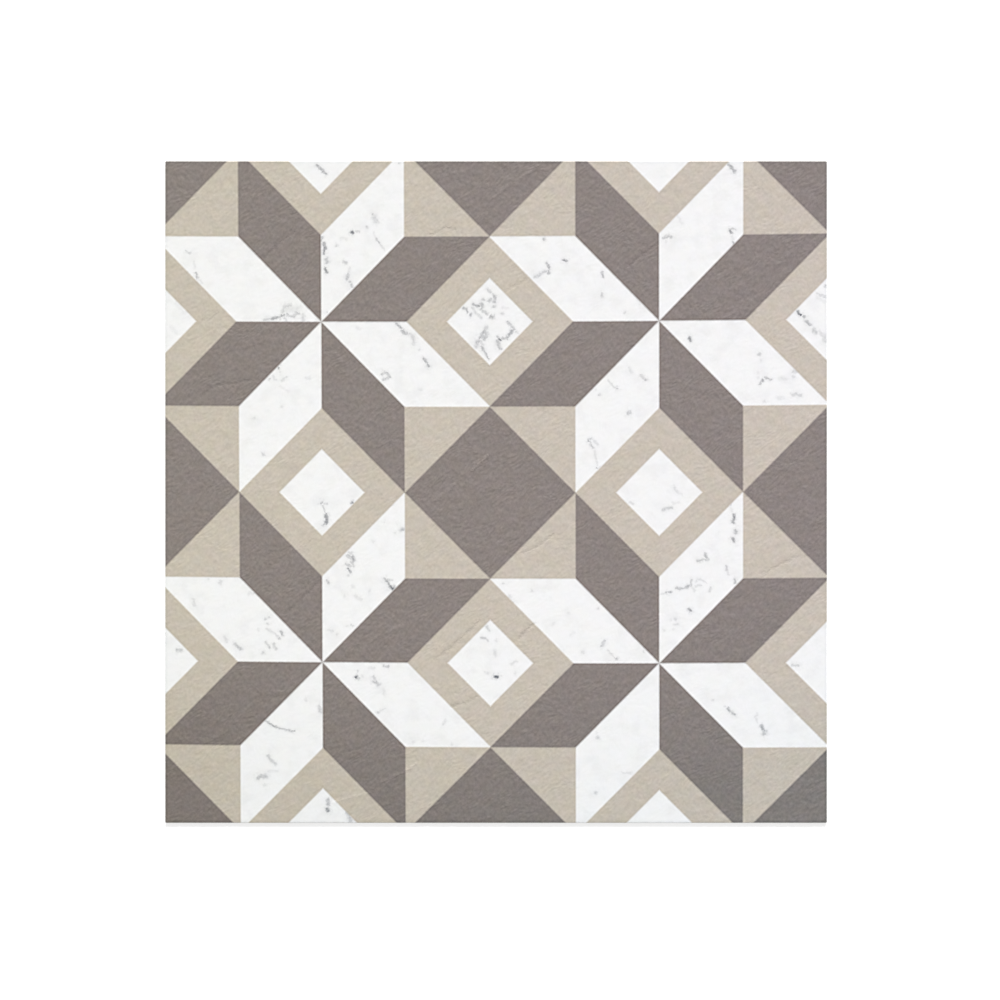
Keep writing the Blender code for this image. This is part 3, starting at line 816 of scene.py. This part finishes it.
def layInks(tree, fold, edge):
    # the shares of the inks as one vector, with borders as soft as this
    inks = addNode(tree, "ShaderNodeCombineXYZ", None, {"Z": 1.0})
    for measure, border, steep, inkPast in pattern["borders"]:
        soft = edge / 2 / pattern["unit"] * steep
        past = addNode(tree, "ShaderNodeMapRange", easing,
                       {"Value": fold[measure], "From Min": border - soft, "From Max": border + soft})
        only = [float(ink == inkPast) for ink in pattern["inks"]]
        inks = addNode(tree, "ShaderNodeMix", {"data_type": "VECTOR"}, {0: past, 4: inks, 5: only})
        inks = inks.outputs[1]
    return inks


def strokeMask(tree, place):
    # draws the strokes that drawMarks gave to the faces: a ragged broken core, a faint bloom and crumbs
    where = addNode(tree, "ShaderNodeAttribute", {"attribute_name": "strokePlace"})
    what = addNode(tree, "ShaderNodeAttribute", {"attribute_name": "strokeInk"})
    ink = addNode(tree, "ShaderNodeSeparateXYZ", None, [what.outputs["Vector"]])
    wobble = addNode(tree, "ShaderNodeTexNoise", None,
                     {"Vector": place, "Scale": 1 / marble["wobbleSize"], "Detail": 1.0})
    wobble = wobble.outputs["Color"]
    stray = addNode(tree, "ShaderNodeVectorMath", "SUBTRACT", [wobble, (0.5, 0.5, 0.5)])
    spot = addNode(tree, "ShaderNodeVectorMath", "MULTIPLY_ADD",
                   [stray, (2 * marble["wobble"], 2 * marble["wobble"], 0), where.outputs["Vector"]])
    spot = addNode(tree, "ShaderNodeSeparateXYZ", None, [spot])
    inside = addNode(tree, "ShaderNodeMath", "MAXIMUM", [spot, 0.0])
    inside = addNode(tree, "ShaderNodeMath", "MINIMUM", [inside, spot.outputs["Z"]])
    past = addNode(tree, "ShaderNodeMath", "SUBTRACT", [spot, inside])
    gap = addNode(tree, "ShaderNodeCombineXYZ", None, [past, spot.outputs["Y"]])
    gap = addNode(tree, "ShaderNodeVectorMath", "LENGTH", [gap]).outputs["Value"]
    # a stroke swells and thins along its way
    swell = addNode(tree, "ShaderNodeSeparateXYZ", None, [wobble]).outputs["Z"]
    least, most = marble["swell"]
    swell = addNode(tree, "ShaderNodeMapRange", None,
                    {"Value": swell, **noiseSpan, "To Min": least, "To Max": most})
    breadth = addNode(tree, "ShaderNodeMath", "MULTIPLY", [swell, ink.outputs["Y"]])
    gap = addNode(tree, "ShaderNodeMath", "DIVIDE", [gap, breadth])
    grit = addNode(tree, "ShaderNodeTexNoise", None,
                   {"Vector": place, "Scale": 1 / marble["grit"], "Detail": 1.0})
    layers = []
    for layer, uneven in (("core", "breaks"), ("bloom", "crumbs")):
        near = addNode(tree, "ShaderNodeMapRange", easing, [gap, *marble[layer]])
        rough = addNode(tree, "ShaderNodeMapRange", None, [grit, *marble[uneven]])
        layers.append(addNode(tree, "ShaderNodeMath", "MULTIPLY", [near, rough]))
    mask = addNode(tree, "ShaderNodeMath", "MAXIMUM", layers)
    mask = addNode(tree, "ShaderNodeMath", "MULTIPLY", [mask, ink])
    return mask, ink.outputs["Z"]


# How unevenly the inks and the wear layer over them lie
film = {
    "cloud": 7 * mm,  # size of the faint clouds
    "cloudInInks": (0.975, 1.025),  # how light the inks are in them
    "cloudInWhite": (0.45, 0.72),  # where in the noise they start in the white, and where they are full
    "whiteInCloud": 0.95,
    "stain": 1.5 * mm,  # size of the darker and lighter spots in the inks, and how much they differ
    "stainDepths": {"taupe": 0.45, "beige": 0.24, "white": 0.0},
    "warmLightLeft": (0.985, 0.987, 0.953),  # painted light: the tone at the print's left edge, warmer, and at its right edge, cooler
    "coolLightRight": (1.018, 1.003, 1.035),
    "turn": 5 * mm,  # over this length the tone also wanders between the next two
    "turnLow": (0.985, 0.993, 0.975),
    "turnHigh": (1.015, 1.007, 1.025),
    "plainWhite": 0.55,  # this share of the tone is left out of the white
    "sheen": 3 * mm,  # size of the wear layer's duller and shinier spots
    "roughness": (0.46, 0.58),
    "ior": 1.5,
}


def mottle(tree, place, inks, white):
    # the inks lie a little unevenly, painted light turns them a shade warmer to the left and cooler to the
    # right, and the white, which turns half as much, has faint clouds
    cloud = addNode(tree, "ShaderNodeTexNoise", None,
                    {"Vector": place, "Scale": 1 / film["cloud"], "Detail": 3.0})
    inWhite = addNode(tree, "ShaderNodeMapRange", easing,
                      [cloud, *film["cloudInWhite"], 1.0, film["whiteInCloud"]])
    least, most = film["cloudInInks"]
    inInks = addNode(tree, "ShaderNodeMapRange", None,
                     {"Value": cloud, **noiseSpan, "To Min": least, "To Max": most})
    level = addNode(tree, "ShaderNodeMix", {"data_type": "FLOAT"}, {0: white, 2: inInks, 3: inWhite})
    stain = addNode(tree, "ShaderNodeTexNoise", None,
                    {"Vector": place, "Scale": 1 / film["stain"], "Detail": 1.0})
    stain = addNode(tree, "ShaderNodeMath", "SUBTRACT", [stain, 0.5])
    depths = [film["stainDepths"][ink] for ink in pattern["inks"]]
    depth = addNode(tree, "ShaderNodeVectorMath", "DOT_PRODUCT", [inks, depths])
    stain = addNode(tree, "ShaderNodeMath", "MULTIPLY_ADD", [stain, depth.outputs["Value"], 1.0])
    level = addNode(tree, "ShaderNodeMath", "MULTIPLY", [level, stain])
    across = addNode(tree, "ShaderNodeSeparateXYZ", None, [place])
    across = addNode(tree, "ShaderNodeMapRange", None,
                     {"Value": across, "From Min": -slab["halfWidth"], "From Max": slab["halfWidth"]})
    tint = addNode(tree, "ShaderNodeMix", {"data_type": "VECTOR"},
                   {0: across, 4: film["warmLightLeft"], 5: film["coolLightRight"]}).outputs[1]
    turn = addNode(tree, "ShaderNodeTexNoise", None,
                   {"Vector": place, "Scale": 1 / film["turn"], "Detail": 1.0})
    turn = addNode(tree, "ShaderNodeMapRange", {"data_type": "FLOAT_VECTOR"}, {
        "Vector": turn.outputs["Color"],
        "From Min": (noiseSpan["From Min"],) * 3,
        "From Max": (noiseSpan["From Max"],) * 3,
        "To Min": film["turnLow"],
        "To Max": film["turnHigh"],
    }).outputs["Vector"]
    tint = addNode(tree, "ShaderNodeVectorMath", "MULTIPLY", [tint, turn])
    plain = addNode(tree, "ShaderNodeMath", "MULTIPLY", [white, film["plainWhite"]])
    tint = addNode(tree, "ShaderNodeMix", {"data_type": "VECTOR"}, {0: plain, 4: tint, 5: (1, 1, 1)})
    tint = tint.outputs[1]
    return addNode(tree, "ShaderNodeVectorMath", "SCALE", {0: tint, "Scale": level})


def paintShade(tree, place, colour):
    # painted shade: every ink is a little darker towards the bottom edge, faster and faster, and all along
    # the cut
    start, loss = pattern["bottomShade"]
    down = addNode(tree, "ShaderNodeSeparateXYZ", None, [place])
    across = addNode(tree, "ShaderNodeMapRange", None,
                     {"Value": down, "From Min": -slab["halfWidth"], "From Max": slab["halfWidth"]})
    leftTint, rightTint = pattern["bottomShadeTints"]
    tint = addNode(tree, "ShaderNodeMix", {"data_type": "VECTOR"}, {0: across, 4: leftTint, 5: rightTint})
    aside = addNode(tree, "ShaderNodeMath", "MULTIPLY", [down, down])
    down = addNode(tree, "ShaderNodeMath", "MULTIPLY_ADD",
                   [aside, -pattern["bottomShadeRise"] / slab["halfWidth"] ** 2, down.outputs["Y"]])
    down = addNode(tree, "ShaderNodeMapRange", None,
                   {"Value": down, "From Min": start, "From Max": -slab["halfLength"]})
    down = addNode(tree, "ShaderNodeMath", "POWER", [down, 2.0])
    down = addNode(tree, "ShaderNodeMath", "MULTIPLY", [down, loss])
    # painted shade along the cut edge, full over the rolled edge and fading out inward
    start, full, loss = pattern["cutShade"]
    inward = addNode(tree, "ShaderNodeVectorMath", "ABSOLUTE", [place])
    inward = addNode(tree, "ShaderNodeVectorMath", "SUBTRACT",
                     [(slab["halfWidth"], slab["halfLength"], 0), inward])
    inward = addNode(tree, "ShaderNodeSeparateXYZ", None, [inward])
    inward = addNode(tree, "ShaderNodeMath", "MINIMUM", [inward, inward.outputs["Y"]])
    cut = addNode(tree, "ShaderNodeMapRange", easing,
                  {"Value": inward, "From Min": start, "From Max": full, "To Max": loss})
    lost = addNode(tree, "ShaderNodeVectorMath", "SCALE", {0: tint.outputs[1], "Scale": down})
    lost = addNode(tree, "ShaderNodeVectorMath", "MULTIPLY_ADD", [cut, pattern["cutTint"], lost])
    return addNode(tree, "ShaderNodeVectorMath", "SUBTRACT", [colour, lost])


def fineGrain(tree, place, inks, crease):
    # the emboss's finest grain and the creases' sharp lines, which are too small for the mesh
    swayLength, sway = emboss["sway"]
    bend = addNode(tree, "ShaderNodeTexNoise", None,
                   {"Vector": place, "Scale": 1 / swayLength, "Detail": 0.0})
    bend = addNode(tree, "ShaderNodeVectorMath", "MULTIPLY_ADD",
                   [bend.outputs["Color"], (2 * sway, 2 * sway, 0), place])
    turned = addNode(tree, "ShaderNodeMapping", None,
                     {"Vector": bend, "Rotation": (0, 0, -math.radians(emboss["grainAngle"]))})
    streaks = addNode(tree, "ShaderNodeVectorMath", "DIVIDE", [turned, (*emboss["grain"], 1)])
    streaks = addNode(tree, "ShaderNodeTexNoise", None, {"Vector": streaks, "Scale": 1.0, "Detail": 0.5})
    depths = [emboss["grainDepths"][ink] * emboss["grainHeight"] for ink in pattern["inks"]]
    depth = addNode(tree, "ShaderNodeVectorMath", "DOT_PRODUCT", [inks, depths])
    streaks = addNode(tree, "ShaderNodeMath", "MULTIPLY", [streaks, depth.outputs["Value"]])
    height = addNode(tree, "ShaderNodeMath", "MULTIPLY_ADD", [crease, -mm, streaks])
    return addNode(tree, "ShaderNodeBump", None, {"Strength": 1.0, "Distance": 1.0, "Height": height})


def printedVinyl():
    # printed film under a pressed, matt polyurethane wear layer: crisp flat inks that the slate's low
    # ripples shade, with a dull sheen that is uneven where the layer is
    material = bpy.data.materials.new("embossedPrintedVinyl")
    material.use_nodes = True
    tree = material.node_tree
    shader = tree.nodes["Principled BSDF"]
    shader.inputs["IOR"].default_value = film["ior"]
    place = addNode(tree, "ShaderNodeTexCoord").outputs["Object"]
    fold = foldPattern(tree, undoDrift(tree, place))
    crisp = layInks(tree, fold, pattern["inkEdge"])
    soft = layInks(tree, fold, pattern["rim"])
    # each ink is stronger along its own border, as in artwork that was sharpened for print
    rim = addNode(tree, "ShaderNodeVectorMath", "SUBTRACT", [crisp, soft])
    strong = addNode(tree, "ShaderNodeVectorMath", "MULTIPLY_ADD",
                     [rim, (pattern["rimStrength"],) * 3, crisp])
    share = addNode(tree, "ShaderNodeSeparateXYZ", None, [strong])
    colour = addNode(tree, "ShaderNodeCombineXYZ")
    for index, ink in enumerate(pattern["inks"]):
        colour = addNode(tree, "ShaderNodeVectorMath", "MULTIPLY_ADD",
                         [linear(pattern[ink])[:3], share.outputs[index], colour])
    white = addNode(tree, "ShaderNodeSeparateXYZ", None, [crisp]).outputs["Z"]
    uneven = mottle(tree, place, crisp, white)
    colour = addNode(tree, "ShaderNodeVectorMath", "MULTIPLY", [colour, uneven])
    # the marble's marks show in the white fields only; a crease's line gets painted shade and a ridge's line
    # a painted highlight
    mask, inMarble = strokeMask(tree, place)
    here = addNode(tree, "ShaderNodeMath", "MULTIPLY", [mask, inMarble])
    crease = addNode(tree, "ShaderNodeMath", "SUBTRACT", [mask, here])
    here = addNode(tree, "ShaderNodeMath", "MULTIPLY", [here, white])
    markTint = [-marble["strength"] * part for part in marble["markTint"]]
    kept = addNode(tree, "ShaderNodeVectorMath", "MULTIPLY_ADD", [here, markTint, (1, 1, 1)])
    colour = addNode(tree, "ShaderNodeVectorMath", "MULTIPLY", [colour, kept])
    # painted shade along the creases and painted highlight along the ridges
    shade = addNode(tree, "ShaderNodeMath", "MULTIPLY_ADD", [crease, -emboss["creaseLine"][1], 1.0])
    colour = addNode(tree, "ShaderNodeVectorMath", "SCALE", {0: colour, "Scale": shade})
    colour = paintShade(tree, place, colour)
    tree.links.new(colour.outputs[0], shader.inputs["Base Color"])
    sheen = addNode(tree, "ShaderNodeTexNoise", None,
                    {"Vector": place, "Scale": 1 / film["sheen"], "Detail": 1.0})
    least, most = film["roughness"]
    sheen = addNode(tree, "ShaderNodeMapRange", None,
                    {"Value": sheen, **noiseSpan, "To Min": least, "To Max": most})
    tree.links.new(sheen.outputs[0], shader.inputs["Roughness"])
    tree.links.new(fineGrain(tree, place, crisp, crease).outputs[0], shader.inputs["Normal"])
    return material


# The bare vinyl of the back and the cut edge
body = {
    "dark": "#a8a298",
    "pale": "#d2ccc1",
    "speck": 1.2 * mm,  # the limestone grit, drawn about three times as coarse as it is, or it wouldn't show
    "cloud": 16.0 * mm,  # the filler lies a little unevenly over this length
    "cloudShare": 0.3,
    "gritSpan": (0.36, 0.62),  # where in the noise it is darkest and palest
    "skin": (1.6 * mm, 0.05 * mm),  # the calender's fine pebbled skin: its size and height
    "roughness": (0.58, 0.72),
    "ior": 1.5,
}


def bareVinyl():
    # calendered vinyl filled with ground limestone, cut by a punch: dull and pale, speckled by the grit,
    # with a fine pebbled skin
    material = bpy.data.materials.new("filledVinylBody")
    material.use_nodes = True
    tree = material.node_tree
    shader = tree.nodes["Principled BSDF"]
    shader.inputs["IOR"].default_value = body["ior"]
    place = addNode(tree, "ShaderNodeTexCoord").outputs["Object"]
    speck = addNode(tree, "ShaderNodeTexNoise", None,
                    {"Vector": place, "Scale": 1 / body["speck"], "Detail": 2.0})
    cloud = addNode(tree, "ShaderNodeTexNoise", None,
                    {"Vector": place, "Scale": 1 / body["cloud"], "Detail": 2.0})
    grit = addNode(tree, "ShaderNodeMix", {"data_type": "FLOAT"}, {0: body["cloudShare"], 2: speck, 3: cloud})
    grit = addNode(tree, "ShaderNodeMapRange", None, [grit, *body["gritSpan"]])
    colour = addNode(tree, "ShaderNodeMix", {"data_type": "RGBA"},
                     {0: grit, 6: linear(body["dark"]), 7: linear(body["pale"])})
    tree.links.new(colour.outputs[2], shader.inputs["Base Color"])
    size, height = body["skin"]
    skin = addNode(tree, "ShaderNodeTexNoise", None, {"Vector": place, "Scale": 1 / size, "Detail": 1.0})
    least, most = body["roughness"]
    dull = addNode(tree, "ShaderNodeMapRange", None,
                   {"Value": skin, **noiseSpan, "To Min": least, "To Max": most})
    tree.links.new(dull.outputs[0], shader.inputs["Roughness"])
    bump = addNode(tree, "ShaderNodeBump", None, {"Strength": 1.0, "Distance": height, "Height": skin})
    tree.links.new(bump.outputs[0], shader.inputs["Normal"])
    return material


placeCamera()
lightStudio()
layFloor()
print("camera, light and floor are in place")
mesh = shapeTile()
drawMarks(mesh)
unwrapTile(mesh)
mesh.materials.append(printedVinyl())
mesh.materials.append(bareVinyl())
tile = bpy.data.objects.new("embossed_tile", mesh)
scene.collection.objects.link(tile)
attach(tile, "root")
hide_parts("vinyl_tile")
print("tile dressed")
